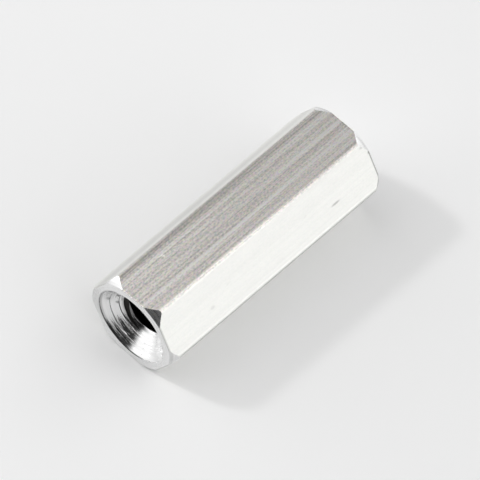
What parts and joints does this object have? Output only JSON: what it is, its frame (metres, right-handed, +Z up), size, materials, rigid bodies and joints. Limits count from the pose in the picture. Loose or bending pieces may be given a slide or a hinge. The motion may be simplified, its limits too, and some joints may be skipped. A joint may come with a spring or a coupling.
{
  "type": "hex standoff",
  "caption": "Hexagonal aluminium standoff, tapped right through, with countersunk mouths and chamfered end corners, for holding boards or panels apart.",
  "frame": {"origin": "on the flat that the standoff lies on, under the middle of its length", "axes": "+X along the axis of the bore, +Z up, +Y across the bar from corner to corner"},
  "size_m": [0.016, 0.0062, 0.0055],
  "materials": {
    "bare_aluminium": "drawn flats, machined ends and mouths"
  },
  "bodies": {
    "root": {"standoff": "bare_aluminium"}
  },
  "joints": []
}
